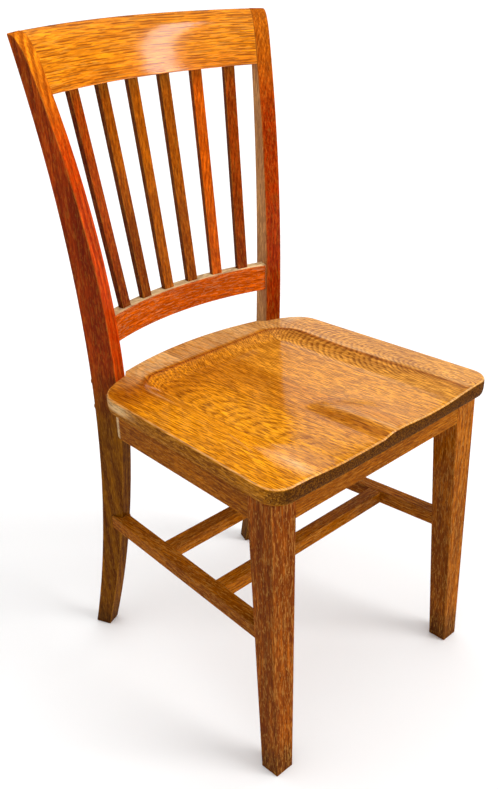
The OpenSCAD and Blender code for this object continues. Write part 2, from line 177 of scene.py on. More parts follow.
FLOOR_HALF = 24.0
FLOOR_COLOR, FLOOR_ROUGH, FLOOR_SPECULAR = rgb(0.96, 0.96, 0.96), 0.9, 0.1
# The sky brightens from SKY_LOW to SKY_HIGH between two heights on its sphere. The varnish
# sees only a share of it, and the camera a plain backdrop.
SKY_RISE = (0.15, 0.85)
SKY_LOW, SKY_HIGH = 0.26, 1.28
SKY_IN_GLOSS = 0.28
BACKDROP = 1.0
KEY_FROM = (0.40, -0.86, 0.42)
KEY_POWER = 2.1
KEY_SPREAD = math.radians(32)
# Soft boxes that only show in the varnish: where they stand, where they point, size and power
GLOSS_BOXES = {
    "back_box": ((2.09, 1.33, 1.44), (0.0, 0.0, 0.45), (1.10, 0.80), 3.9),
    "front_box": ((1.64, -2.10, 2.10), (0.03, 0.17, 0.85), (0.46, 1.90), 24.0),
}


def make_floor():
    mesh = bpy.data.meshes.new("floor")
    h = FLOOR_HALF
    mesh.from_pydata([(-h, -h, 0), (h, -h, 0), (h, h, 0), (-h, h, 0)], [], [(0, 1, 2, 3)])
    floor = bpy.data.objects.new("floor", mesh)
    bpy.context.scene.collection.objects.link(floor)
    g = Graph(bpy.data.materials.new("floor"))
    g.shader.inputs["Base Color"].default_value = FLOOR_COLOR
    g.shader.inputs["Roughness"].default_value = FLOOR_ROUGH
    g.shader.inputs["Specular IOR Level"].default_value = FLOOR_SPECULAR
    mesh.materials.append(g.mat)


def make_sky():
    world = bpy.data.worlds.new("studio")
    g = Graph(world)
    height = g.split(node(g.tree, "ShaderNodeTexCoord").outputs["Generated"])[2]
    sky = g.ramp(height, *SKY_RISE, SKY_LOW, SKY_HIGH)
    ray = node(g.tree, "ShaderNodeLightPath").outputs
    lit = g.times(sky, g.ramp(ray["Is Glossy Ray"], 0.0, 1.0, 1.0, SKY_IN_GLOSS))
    background = g.tree.nodes["Background"]
    g.put(background.inputs["Strength"], g.ramp(ray["Is Camera Ray"], 0.0, 1.0, lit, BACKDROP))
    background.inputs["Color"].default_value = rgb(1.0, 1.0, 1.0)
    bpy.context.scene.world = world


def aim(name, data, place, target):
    lamp = bpy.data.objects.new(name, data)
    lamp.location = place
    lamp.rotation_euler = (Vector(place) - Vector(target)).to_track_quat("Z", "Y").to_euler()
    lamp.visible_camera = False
    bpy.context.scene.collection.objects.link(lamp)
    return lamp


def make_lights():
    sun = bpy.data.lights.new("key", "SUN")
    sun.energy = KEY_POWER
    sun.angle = KEY_SPREAD
    aim("key", sun, KEY_FROM, (0, 0, 0)).visible_glossy = False
    for name, (place, target, size, power) in GLOSS_BOXES.items():
        data = bpy.data.lights.new(name, "AREA")
        data.shape = "RECTANGLE"
        data.size, data.size_y = size
        data.energy = power
        aim(name, data, place, target).visible_diffuse = False


def make_stage():
    make_floor()
    make_sky()
    make_lights()
    bpy.context.scene.view_settings.view_transform = "Standard"


# ---------------------------------------------------------------- oak

# Turns that bring the grain, which runs along one axis of the frame, onto local Y
GRAIN_TURN = {"x": (0, 0, math.pi / 2), "y": (0, 0, 0), "z": (-math.pi / 2, 0, 0)}
# How far apart two boards are cut from the same noise, for each step of the seed
SEED_STEP = (0.371, 0.137, 0.613)

WORN = rgb(0.78, 0.34, 0.04)
CREAM = rgb(0.86, 0.60, 0.30)
# The tone on the next line is a painted reflection, for the top face of the lower back rail.
RAIL_TOP_REFLECTION = rgb(0.95, 0.70, 0.36)

# Noise cells per metre: across, along and across the grain
WANDER, RIPPLE, PATCHES = (16, 5, 16), (85, 32, 85), (15, 9, 15)
FIBRE, STREAK, BLOTCH = (390, 48, 390), (170, 8, 170), (9, 5, 9)
SPECK, POLISH = (520, 520, 520), (150, 36, 150)
PORE_ACROSS, FLECK_ACROSS = 530, 560
RIPPLE_DEPTH = 0.0026
BEVEL_LOOK = 0.0020
SEAM_HALF, SEAM_FADE = 0.0003, 0.0009
COAT_ROUGH = 0.12


class Oak(Graph):
    """The graph of one board: its coordinates and the layers of its look."""

    def __init__(self, name, seed, grain, depth):
        super().__init__(bpy.data.materials.new(name))
        turn = GRAIN_TURN[grain]
        self.coord = node(self.tree, "ShaderNodeTexCoord").outputs["Object"]
        self.local = self.stretch(self.coord, (1, depth, 1), turn=turn)
        self.far = self.stretch(self.local, (1, 1, 1), [seed * step for step in SEED_STEP])
        self.normal = node(self.tree, "ShaderNodeNewGeometry").outputs["Normal"]
        self.across = self.split(self.stretch(self.normal, (1, 1, 1), turn=turn))[1]
        self.fibre = self.cloud(FIBRE, 2.0, 0.65)
        self.blotch = self.cloud(BLOTCH, 2.0)

    def cloud(self, cells, detail=1.0, rough=0.5, distortion=0.0):
        return self.noise(self.stretch(self.far, cells), 1.0, detail, rough, distortion)

    def tone(self, color, bands, sides, low_bands):
        """The middle tone: bands are (start, full, tone, share) in height, sides (direction,
        tone, share, cosine at start, at full)."""
        height = self.split(self.coord)[2]
        layers = [(height, start, full, tint, share) for start, full, tint, share in bands]
        layers += [(self.facing(self.normal, direction), start, full, tint, share)
                   for direction, tint, share, start, full in sides]
        layers += [(height, start, full, tint, share) for start, full, tint, share in low_bands]
        tone = color
        for value, start, full, tint, share in layers:
            tone = self.mix(self.ramp(value, start, full, 0.0, share), tone, tint)
        return tone

    def year_rings(self, pitch, pith, tilt, sway):
        """Early wood of each year, 0 to 1, around a pith that leans by tilt."""
        at = self.split(self.local)
        px = self.math("SUBTRACT", self.math("MULTIPLY_ADD", at[1], tilt[0], at[0]), pith[0])
        pz = self.math("SUBTRACT", self.math("MULTIPLY_ADD", at[1], tilt[1], at[2]), pith[1])
        radius = self.math("SQRT", self.math("ADD", self.times(px, px), self.times(pz, pz)))
        radius = self.math("MULTIPLY_ADD", self.cloud(WANDER, rough=0.4), 2 * sway, radius)
        radius = self.math("MULTIPLY_ADD", self.cloud(RIPPLE), RIPPLE_DEPTH, radius)
        phase = self.math("FRACT", self.math("DIVIDE", radius, pitch))
        return self.times(self.ramp(phase, 0.0, 0.16), self.ramp(phase, 0.3, 0.75, 1.0, 0.0))

    def pores(self, early, length):
        """Open pores, densest in the early wood."""
        dash = self.ramp(self.cloud((PORE_ACROSS, 1 / length, PORE_ACROSS)), 0.47, 0.53)
        return self.times(dash, self.math("MULTIPLY_ADD", early, 0.55, 0.45))

    def figure(self, early, pores, spread, fine, rings, dashes):
        """Everything that varies within a board, as a share of its tone."""
        mottle = self.math("ADD", self.times(self.cloud(STREAK, 2.0, 0.55, 0.3), 0.55),
                           self.times(self.blotch, 0.45))
        patchy = self.ramp(self.cloud(PATCHES), 0.42, 0.60, 0.25, 1.0)
        look = self.mix(self.ramp(mottle, 0.38, 0.62), shade(1 - spread),
                        shade(1 + spread, 1 + 1.4 * spread))
        look = self.mix(self.ramp(self.fibre, 0.42, 0.57, fine, 0.0), look, shade(0.44, 0.36))
        look = self.mix(self.times(self.times(early, patchy), rings), look, shade(0.40, 0.28))
        return self.mix(self.times(pores, dashes), look, shade(0.26, 0.18))

    def flecked(self, base, length, share, worn):
        fleck = self.cloud((FLECK_ACROSS, 0.9 / length, FLECK_ACROSS), distortion=1.2)
        return self.mix(self.times(self.ramp(fleck, 0.55, 0.61), share), base, worn)

    def end_grain(self, base, tone, dark):
        """Faces across the grain drink in more colour and come out darker."""
        share = self.ramp(self.math("ABSOLUTE", self.across), 0.72, 0.96, 0.0, dark)
        cut = self.mix(self.ramp(self.cloud(SPECK), 0.4, 0.62), shade(0.22, 0.16), shade(0.8))
        return self.mix(share, base, self.shaded(tone, cut))

    def marked(self, base):
        """Stain that pooled, with painted shade in it, and painted highlights, both set on the
        mesh's vertices.
        """
        pooled_and_shaded = node(self.tree, "ShaderNodeAttribute", attribute_name="stain_and_shade").outputs["Fac"]
        # Darker by the values on the vertices: pooled stain, partly painted shade.
        base = self.mix(pooled_and_shaded, base, self.shaded(base, shade(0.48, 0.30)))
        # Paler by the values on the vertices: painted highlights.
        painted_highlight = node(self.tree, "ShaderNodeAttribute", attribute_name="painted_highlight").outputs["Fac"]
        uneven = self.times(self.ramp(self.fibre, 0.36, 0.56, 0.4, 1.0),
                            self.ramp(self.blotch, 0.36, 0.60, 0.4, 1.0))
        return self.mix(self.times(painted_highlight, uneven), base, CREAM)

    def rubbed_edges(self, base, wear, worn):
        soft = node(self.tree, "ShaderNodeBevel", samples=4)
        soft.inputs["Radius"].default_value = BEVEL_LOOK
        turned = self.facing(soft.outputs[0], self.normal)
        edge = self.ramp(turned, 0.992, 0.90, 0.0, wear)
        patch = self.ramp(self.noise(self.far, 30.0, 3.0, 0.6), 0.40, 0.60, 0.25, 1.0)
        return self.mix(self.times(edge, patch), base, worn)

    def glue_line(self, base, tone, x):
        near = self.math("ABSOLUTE", self.math("SUBTRACT", self.split(self.coord)[0], x))
        line = self.ramp(near, SEAM_HALF, SEAM_FADE, 0.5, 0.0)
        return self.mix(line, base, self.shaded(tone, shade(0.2)))

    def varnish(self, pores, rough, coat):
        g, inputs = self, self.shader.inputs
        uneven = g.math("MULTIPLY_ADD", g.noise(g.far, 24.0, 4.0, 0.6), 0.24, rough - 0.12)
        g.put(inputs["Roughness"], uneven)
        inputs["Specular IOR Level"].default_value = 0.0
        inputs["Coat Weight"].default_value = coat
        inputs["Coat Roughness"].default_value = COAT_ROUGH
        g.bump(g.math("SUBTRACT", g.times(g.fibre, 0.4), pores), 0.4, 0.0004, "Normal")
        g.bump(g.cloud(POLISH, 2.0), 0.25, 0.0006, "Coat Normal")


def oak(name, seed, grain, color, depth=1.0, pitch=0.0030, pith=(0.03, -0.10), tilt=(0.0, 0.02),
        sway=0.004, rings=0.5, dashes=0.5, dash_l=0.012, fine=0.5, flecks=0.15, spread=0.25,
        wear=0.35, worn=WORN, coat=0.08, rough=0.42, end_dark=0.5, seams=(), sides=(), bands=(),
        low_bands=(), stain_and_painted_light=False):
    """Varnished oak. color is the wood's middle tone and grain the axis it runs along; depth
    squashes the grain front to back, so that it follows a curved board. pitch is a year's
    growth, and sway how far the rings wander. rings, dashes, fine, flecks, wear and end_dark
    are shares, dash_l is a pore's length."""
    g = Oak(name, seed, grain, depth)
    tone = g.tone(color, bands, sides, low_bands)
    early = g.year_rings(pitch, pith, tilt, sway)
    pores = g.pores(early, dash_l)
    base = g.shaded(tone, g.figure(early, pores, spread, fine, rings, dashes))
    base = g.flecked(base, dash_l, flecks, worn)
    base = g.end_grain(base, tone, end_dark)
    if stain_and_painted_light:
        base = g.marked(base)
    if wear:
        base = g.rubbed_edges(base, wear, worn)
    for x in seams:
        base = g.glue_line(base, tone, x)
    g.put(g.shader.inputs["Base Color"], base)
    g.varnish(pores, rough, coat)
    return g.mat


STEEL_DARK, STEEL_LIGHT = rgb(0.42, 0.42, 0.43), rgb(0.62, 0.62, 0.64)


def steel(name):
    g = Graph(bpy.data.materials.new(name))
    coord = node(g.tree, "ShaderNodeTexCoord").outputs["Object"]
    cloud = g.noise(coord, 420.0, 3.0, 0.6)
    inputs = g.shader.inputs
    g.put(inputs["Base Color"], g.mix(g.ramp(cloud, 0.35, 0.65), STEEL_DARK, STEEL_LIGHT))
    g.put(inputs["Roughness"], g.ramp(cloud, 0.3, 0.7, 0.25, 0.45))
    inputs["Metallic"].default_value = 1.0
    return g.mat


# ---------------------------------------------------------------- outlines shared by pieces, in mm

# A post in plan: its outer front corner, the turn of its bearing face and its width
POST_X, POST_Y, POST_TURN, POST_W = 155.5, 123.0, math.radians(21.3), 23.0
SEAT_BOX = box_mm("seat_board_1")
SEAT_TOP = SEAT_BOX[1][2]
SEAT_T = SEAT_TOP - SEAT_BOX[0][2]


def bearing(w):
    """Point on a post's bearing face, w in from its outer corner."""
    return (POST_X - w * math.cos(POST_TURN), POST_Y + w * math.sin(POST_TURN))


def arc_points(cx, cy, r, a0, a1, n):
    out = []
    for i in range(n + 1):
        a = math.radians(a0 + (a1 - a0) * i / n)
        out.append((cx + r * math.cos(a), cy + r * math.sin(a)))
    return out


def smooth(lo, hi, v):
    t = min(1.0, max(0.0, (v - lo) / (hi - lo)))
    return t * t * (3 - 2 * t)


def bell(v, middle, width):
    return math.exp(-((v - middle) / width) ** 2)


# ---------------------------------------------------------------- seat: outline

SEAMS = [box_mm(f"seat_board_{i}")[1][0] for i in range(1, 5)]
# The sides draw in by SEAT_TAPER towards the back, from their width at the legs' front
SEAT_HALF_W, SEAT_TAPER, SEAT_FRONT = 208.0, 0.05, 234.5
LEG_FRONT = -box_mm("front_leg_left")[0][1]
CORNER_FRONT_R, CORNER_REAR_R = 28.0, 42.0
CORNER_FRONT_IN, CORNER_REAR_GAP = 2.0, 1.5
# The front edge bows forward by FRONT_BOW between points FRONT_BOW_HALF to each side
FRONT_BOW, FRONT_BOW_HALF = 1.5, 170.0
# The back edge is an arc, BACK_HALF to each side, from behind the posts to its middle
BACK_HALF, BACK_MIDDLE, BACK_END = 124.0, 38.5, 13.0
SIDE_STEPS, BACK_STEPS = 44, 30


def seat_side(y):
    return SEAT_HALF_W - SEAT_TAPER * (y + LEG_FRONT)


def seat_front_and_side():
    """Front middle to the post: front edge, corner, side and rear corner."""
    pts = [(x, -SEAT_FRONT + FRONT_BOW * (x / FRONT_BOW_HALF) ** 2) for x in range(0, 169, 6)]
    pts += arc_points(seat_side(-SEAT_FRONT) - CORNER_FRONT_R - CORNER_FRONT_IN,
                      -SEAT_FRONT + FRONT_BOW + CORNER_FRONT_R, CORNER_FRONT_R, -84, -4, 14)
    rear = POST_Y - CORNER_REAR_R - CORNER_REAR_GAP
    y0 = pts[-1][1]
    for i in range(1, SIDE_STEPS):
        y = y0 + (rear - y0) * i / SIDE_STEPS
        pts.append((seat_side(y), y))
    return pts + arc_points(seat_side(rear) - CORNER_REAR_R, rear, CORNER_REAR_R, 3, 60, 14)


def seat_back_edge():
    """From BACK_HALF to the middle of the back."""
    top = POST_Y + BACK_MIDDLE
    climb = top - (bearing(POST_W)[1] + BACK_END)
    r = (BACK_HALF ** 2 + climb ** 2) / (2 * climb)
    a = math.asin(BACK_HALF / r)
    turns = [a * i / BACK_STEPS for i in range(BACK_STEPS, -1, -1)]
    return [(r * math.sin(t), top - r * (1 - math.cos(t))) for t in turns]


def seat_half_outline():
    """Right half of the seat, front middle to back middle, as (point, how far its edge is
    rounded), which is 0 where it bears on the post."""
    back = seat_back_edge()
    gap = bearing(POST_W)
    out = [(p, 1.0) for p in seat_front_and_side()]
    out += [(bearing(w), 0.0) for w in (-2, 4, 10, 16, POST_W)]
    out.append((((gap[0] + back[0][0]) / 2, (gap[1] + back[0][1]) / 2), 0.6))
    return out + [(p, 1.0) for p in back]


# ---------------------------------------------------------------- seat: dish

DISH_BACK, DISH_R = 109.0, 46.0
DISH_HALF, DISH_FLARE = 143.0, 14.0
DISH_DEEP, DISH_SHALLOWER = 10.0, 5.9
BOWL_DEEP = 1.6
CRISP = 0.45
# How far in from the dish's edge the rows of extra points lie, and their spacing
SHOULDER_ROWS, SHOULDER_STEP = (-3.0, -1.0, 0.5, 2.0, 3.5, 5.5, 8.5), 4.0
SHOULDER_FRONT = -212.0


def dish_half(y):
    return DISH_HALF + DISH_FLARE * smooth(0, -230, y)


def dish_inside(x, y):
    """Distance in from the edge of the dished part, which runs out at the front."""
    qx, qy = abs(x) - (dish_half(y) - DISH_R), y - (DISH_BACK - DISH_R)
    outside = math.hypot(max(qx, 0.0), max(qy, 0.0))
    return DISH_R - outside - min(max(qx, qy), 0.0)


def pommel(x, y):
    """The ridge at the front, 0 to 1: steep on its left, gentle on its right."""
    flank = smooth(-27, -4, x) if x < 0 else 1 - smooth(0, 72, x)
    return flank * smooth(-88, -190, y)


def seat_drop(x, y):
    """Height of the seat's top relative to its rim."""
    s = dish_inside(x, y)
    front = smooth(-60, -235, y)
    start, full = -1.0 - 12.0 * front, 27.0 + 34.0 * front
    brisk = min(1.0, max(0.0, (s - start) / (full - start)))
    brisk = (1 - (1 - brisk) ** 2) * smooth(start, start + 5.0, s)
    crisp = CRISP * (1 - front)
    wall = (1 - crisp) * smooth(start, full, s) + crisp * brisk
    bowl = (DISH_DEEP - DISH_SHALLOWER * front) * wall
    bowl += BOWL_DEEP * smooth(30, 110, s) * smooth(-150, 20, y)
    return -bowl * (1 - pommel(x, y))


def dish_points():
    """Rows of points along the shoulder of the dish, closer together than the rest."""
    out = []
    for s in SHOULDER_ROWS:
        side = []
        y = SHOULDER_FRONT
        while y < DISH_BACK - DISH_R:
            side.append((dish_half(y) - s, y))
            y += SHOULDER_STEP
        side += arc_points(DISH_HALF - DISH_R, DISH_BACK - DISH_R, DISH_R - s, 0, 90, 18)
        x = DISH_HALF - DISH_R - SHOULDER_STEP
        while x > 0:
            side.append((x, DISH_BACK - s))
            x -= SHOULDER_STEP
        out += [Vector(p) for p in side] + [Vector((-p[0], p[1])) for p in side]
    return out


# ---------------------------------------------------------------- seat: stain with painted shade, and painted highlights

# A painted highlight along the top of the seat's edge: its share, and how many rings of the edge it
# covers
RIM_HIGHLIGHT, RIM_HIGHLIGHT_RINGS = 0.42, 2
# A painted highlight on the edge at the left rear corner: share, place, width and rings it covers
EDGE_SPOT, EDGE_SPOT_AT, EDGE_SPOT_W, EDGE_SPOT_RINGS = 0.75, (-195, 70), 26, 6


def seat_stain_and_shade(x, y):
    """Stain pooled below the dish's shoulder and in its rear corners; the rim line is partly, and
    the right wall and pommel's left flank wholly, painted shade.
    """
    s = dish_inside(x, y)
    # The rim line is partly painted shade; the wall and flank terms are painted shade.
    line = 0.85 * bell(s, 1.5, 2.0) * max(smooth(60, 130, x), smooth(60, 100, y))
    wall = 0.30 * bell(s, 10.0, 9.0) * smooth(20, 120, x)
    flank = 0.6 * bell(x, -17.0, 8.0) * smooth(-100, -135, y)
    corner = 0.66 * bell(math.hypot(x + 170, y - 85), 0, 50)
    hollow = 0.50 * bell(x, -75.0, 85.0) * bell(y, 75.0, 50.0)
    middle = 0.22 * bell(x, -15.0, 70.0) * bell(y, -25.0, 90.0)
    return min(1.0, line + wall + flank + corner + hollow + middle)


def seat_painted_highlight(x, y):
    """Painted highlights along lengths of the dish's shoulder, the crest of the pommel and the back
    rim.
    """
    s = dish_inside(x, y)
    rear = 0.50 * bell(s, 3.0, 3.0) * bell(y, 55.0, 26.0) * (x < 0)
    front = 0.55 * bell(s, 14.0, 8.0) * bell(y, -200.0, 26.0) * (x < 0)
    crest = 0.45 * bell(x, -2.0 - 0.02 * (y + 110), 4.0) * smooth(-103, -120, y)
    right = 0.22 * bell(s, -4.0, 3.0) * smooth(100, 130, x)
    back = 0.46 * smooth(-2.0, -8.0, s) * smooth(92, 108, y) * smooth(-190, -110, x)
    return min(1.0, rear + front + crest + right + back)


def paint_seat(bm, rings, stain_and_shade, painted_highlight):
    for v in bm.verts:
        if v.co.z > (SEAT_TOP - SEAT_T / 2 - 4) * MM:
            v[stain_and_shade] = seat_stain_and_shade(v.co.x / MM, v.co.y / MM)
            v[painted_highlight] = seat_painted_highlight(v.co.x / MM, v.co.y / MM)
    # The upper rings of the edge get a painted highlight, and the left rear corner a painted
    # highlight spot.
    for k, ring in enumerate(rings[1:]):
        for v in ring:
            away = math.hypot(v.co.x / MM - EDGE_SPOT_AT[0], v.co.y / MM - EDGE_SPOT_AT[1])
            spot = EDGE_SPOT * bell(away, 0, EDGE_SPOT_W) if k < EDGE_SPOT_RINGS else 0.0
            v[stain_and_shade] = 0.0
            v[painted_highlight] = max(RIM_HIGHLIGHT if k < RIM_HIGHLIGHT_RINGS else 0.0, spot)


# ---------------------------------------------------------------- seat: mesh

# Cross-section of the seat's edge: how far in and how far down from the rim
EDGE = [(3.4, 0.0), (2.2, 0.2), (1.25, 0.75), (0.5, 1.7), (0.1, 3.2), (0.0, 6.0),
        (0.1, 11.0), (0.5, 16.0), (1.4, 20.0), (2.8, 22.4), (4.6, 23.6), (7.0, 24.0)]
TOP_STEP = 4.5


def outward(pts):
    """Mitred outward normal at each point of a closed outline."""
    out = []
    for i, p in enumerate(pts):
        d1, d2 = (p - pts[i - 1]).normalized(), (pts[(i + 1) % len(pts)] - p).normalized()
        side = Vector((d1.y + d2.y, -(d1.x + d2.x))).normalized()
        out.append(side / max(0.6, math.sqrt((1 + d1.dot(d2)) / 2)))
    return out


def eased(weight):
    """Lets the rounding fade in beside the points where it is 0."""
    n = len(weight)
    for _ in range(2):
        weight = [min(w, (weight[i - 1] + w * 2 + weight[(i + 1) % n]) / 4) if w > 0 else 0.0
                  for i, w in enumerate(weight)]
    return weight


def edge_rings(bm):
    """The seat's edge, as rings of vertices from its rim to its underside."""
    half = seat_half_outline()
    loop = half + [((-p[0], p[1]), w) for p, w in reversed(half[1:-1])]
    pts = [Vector(p) for p, _ in loop]
    weight = eased([w for _, w in loop])
    normals = outward(pts)
    rings = []
    for inset, down in EDGE:
        ring = []
        for p, m, w in zip(pts, normals, weight):
            q = p - m * (inset * w)
            soft = down * w if down < 6.0 else down
            z = SEAT_TOP + seat_drop(q.x, q.y) * (1 - soft / SEAT_T) - soft
            ring.append(bm.verts.new((q.x * MM, q.y * MM, z * MM)))
        rings.append(ring)
    for a, b in zip(rings, rings[1:]):
        for i in range(len(a)):
            j = (i + 1) % len(a)
            bm.faces.new((a[i], a[j], b[j], b[i]))
    return rings


def plan(ring):
    return [Vector((v.co.x / MM, v.co.y / MM)) for v in ring]


def inside(poly, x, y):
    hit = False
    for a, b in zip(poly, poly[1:] + poly[:1]):
        if (a.y > y) != (b.y > y) and x < (b.x - a.x) * (y - a.y) / (b.y - a.y) + a.x:
            hit = not hit
    return hit


def clear(poly, x, y, gap):
    p = Vector((x, y))
    return all((q - p).length > gap for q in poly)


def top_points(rim):
    """Points of the seat's top within its rim: the dish's shoulder, and a grid elsewhere."""
    inner = dish_points()
    y = -SEAT_FRONT + TOP_STEP
    while y < POST_Y + 40:
        x = -SEAT_HALF_W + TOP_STEP / 2
        while x < SEAT_HALF_W:
            if not -4.5 < dish_inside(x, y) < 11.0 or y < SHOULDER_FRONT - 2:
                inner.append(Vector((x, y)))
            x += TOP_STEP
        y += TOP_STEP
    return [p for p in inner if inside(rim, p.x, p.y) and clear(rim, p.x, p.y, TOP_STEP * 0.55)]


def fill(bm, ring, extra, height, up):
    """Faces between the vertices of ring, with extra points inside."""
    outline = plan(ring)
    n = len(outline)
    edges = [(i, (i + 1) % n) for i in range(n)]
    whole = [list(range(n))]
    verts, _, faces, origin, _, _ = delaunay_2d_cdt(outline + extra, edges, whole, 1, 1e-6)
    made = []
    for i, v in enumerate(verts):
        source = [k for k in origin[i] if k < n]
        if source:
            made.append(ring[source[0]])
        else:
            made.append(bm.verts.new((v.x * MM, v.y * MM, height(v.x, v.y) * MM)))
    for f in faces:
        corners = [made[k] for k in (f if up else reversed(f))]
        if len(set(corners)) == len(corners):
            bm.faces.new(corners)


def seat_mesh():
    bm = bmesh.new()
    stain_and_shade = bm.verts.layers.float.new("stain_and_shade")
    painted_highlight = bm.verts.layers.float.new("painted_highlight")
    rings = edge_rings(bm)
    fill(bm, rings[0], top_points(plan(rings[0])), lambda x, y: SEAT_TOP + seat_drop(x, y), True)
    fill(bm, rings[-1], [], lambda x, y: SEAT_TOP - SEAT_T, False)
    bmesh.ops.recalc_face_normals(bm, faces=bm.faces)
    paint_seat(bm, rings, stain_and_shade, painted_highlight)
    return bm


def plank_mesh(whole, left, right):
    """The part of the seat between two seams, closed where it is cut."""
    bm = whole.copy()
    for x, keep_right in ((left, True), (right, False)):
        if x is None:
            continue
        geom = bm.verts[:] + bm.edges[:] + bm.faces[:]
        cut = bmesh.ops.bisect_plane(bm, geom=geom, plane_co=(x * MM, 0, 0), plane_no=(1, 0, 0),
                                     dist=1e-7, clear_inner=keep_right, clear_outer=not keep_right)
        rim = [e for e in cut["geom_cut"] if isinstance(e, bmesh.types.BMEdge)]
        bmesh.ops.contextual_create(bm, geom=rim)
    bmesh.ops.recalc_face_normals(bm, faces=bm.faces)
    return bm


def new_piece(name, bm, mat, replaced, sharp=40):
    mesh = bpy.data.meshes.new(name)
    bm.to_mesh(mesh)
    bm.free()
    mesh.materials.append(mat)
    mesh.shade_smooth()
    mesh.set_sharp_from_angle(angle=math.radians(sharp))
    obj = bpy.data.objects.new(name, mesh)
    bpy.context.scene.collection.objects.link(obj)
    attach(obj, "root")
    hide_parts(replaced)
    return obj


# Tone, pith, tilt and share of rings of each board of the seat, from the left
SEAT_WOOD = [
    (rgb(0.95, 0.33, 0.006), (-0.40, 0.30), (0.01, 0.02), 0.30),
    (rgb(0.94, 0.34, 0.009), (-0.096, 0.36), (0.02, 0.16), 0.28),
    (rgb(0.86, 0.30, 0.011), (0.22, 0.25), (-0.02, 0.02), 0.30),
    (rgb(0.86, 0.32, 0.020), (0.34, 0.27), (0.02, 0.02), 0.30),
    (rgb(0.88, 0.36, 0.045), (0.168, 0.38), (0.0, 0.34), 0.50),
]
# The seat's edge, and the planks' faces that look up less, take the darker edge tone: partly the
# wood, partly painted shade.
EDGE_TONE, EDGE_FRONT = rgb(0.34, 0.110, 0.003), rgb(0.115, 0.036, 0.001)
SEAT_SIDES = [((0, 0, 1), EDGE_TONE, 1.0, 0.72, 0.35)]
EDGE_SIDES = [((0, -1, 0), EDGE_FRONT, 0.85, 0.55, 0.90),
              ((-0.7, -0.7, 0), EDGE_FRONT, 0.7, 0.80, 0.97)]
# Faces that look up by less than this belong to the edge
EDGE_RISE = 0.35


def make_seat():
    whole = seat_mesh()
    edge = oak("oak_seat_edge", 23, "y", EDGE_TONE, pith=(0.1, 0.38), rings=0.4, dashes=0.6,
               flecks=0.35, wear=0, end_dark=0.9, stain_and_painted_light=True, seams=[x * MM for x in SEAMS],
               sides=EDGE_SIDES)
    cuts = [None] + SEAMS + [None]
    for i, (tone, pith, tilt, rings) in enumerate(SEAT_WOOD):
        bm = plank_mesh(whole, cuts[i], cuts[i + 1])
        lines = [x * MM for x in cuts[i:i + 2] if x is not None]
        mat = oak(f"oak_seat_{i + 1}", 3 + 7 * i, "y", tone, pith=pith, tilt=tilt, sway=0.006,
                  rings=rings, dashes=0.80, dash_l=0.017, flecks=0.30, wear=0, coat=0.45,
                  seams=lines, sides=SEAT_SIDES, stain_and_painted_light=True)
        plank = new_piece(f"seat_plank_{i + 1}", bm, mat, f"seat_board_{i + 1}")
        plank.data.materials.append(edge)
        for face in plank.data.polygons:
            face.material_index = int(face.normal.z < EDGE_RISE)
    whole.free()


# ---------------------------------------------------------------- back rails

# Half the angle that the back's curve spans, and how far the posts lean outwards
BACK_TURN = math.radians(20.3)
POST_LEAN = math.radians(2.56)
POST_FRONT_R, POST_BACK_R, POST_WAIST = 1350.0, 2040.0, 39.9
(_, _, CREST_Z), (_, _, TOP_Z) = box_mm("crest_rail")
(_, _, RAIL_Z), (_, _, RAIL_TOP) = box_mm("lower_back_rail")
RAIL_T, RAIL_U, RAIL_ROUND = 18.5, 5.0, 1.6
# The crest's face turns over above TIP_Z, and stands CREST_U behind the posts' faces
TIP_Z, TIP_LEAD, TIP_EDGE = 845.0, 12.0, 2.5
CREST_U, CREST_CROWN, CREST_SPAN = 0.5, 1.5, 70.0
STATIONS = 48


def inner_face(z):
    run = POST_W - (z - SEAT_TOP) * math.tan(POST_LEAN)
    return POST_X - run * math.cos(POST_TURN), POST_Y + run * math.sin(POST_TURN)


def back_arc(z):
    x, y = inner_face(z)
    r = x / math.sin(BACK_TURN)
    return r, y - r * math.cos(BACK_TURN)


def end_angle(r, cy, u, z):
    """Angle at which the arc of radius r + u meets the post's inner face at height z."""
    px, py = inner_face(z)
    dx, dy = math.sin(POST_TURN), math.cos(POST_TURN)
    ox, oy = px, py - cy
    b = ox * dx + oy * dy
    c = ox * ox + oy * oy - (r + u) ** 2
    t = -b + math.sqrt(b * b - c)
    return math.atan2(ox + dx * t, oy + dy * t)


def rail_mesh(mid_z, section, crown=0.0):
    """Sweeps a closed section, (depth, height, crown share) points, between the posts."""
    r, cy = back_arc(mid_z)
    bm = bmesh.new()
    rings = []
    for i in range(STATIONS + 1):
        s = 2 * i / STATIONS - 1
        lift = crown * math.cos(s * math.pi / 2)
        ring = []
        for u, z, share in section:
            high = z + lift * share
            # the end follows the post's inner face, which leans out
            a = s * end_angle(r, cy, u, high)
            x, y = (r + u) * math.sin(a), cy + (r + u) * math.cos(a)
            ring.append(bm.verts.new((x * MM, y * MM, high * MM)))
        rings.append(ring)
    n = len(section)
    for a, b in zip(rings, rings[1:]):
        for k in range(n):
            j = (k + 1) % n
            bm.faces.new((a[k], b[k], b[j], a[j]))
    bm.faces.new(list(reversed(rings[0])))
    bm.faces.new(rings[-1])
    bmesh.ops.recalc_face_normals(bm, faces=bm.faces)
    return bm


def sag(r, d):
    return r - math.sqrt(r * r - d * d)


def front_u(z):
    return sag(POST_FRONT_R, max(0.0, z - SEAT_TOP))


def back_u(z):
    return POST_WAIST + sag(POST_BACK_R, z - SEAT_TOP)


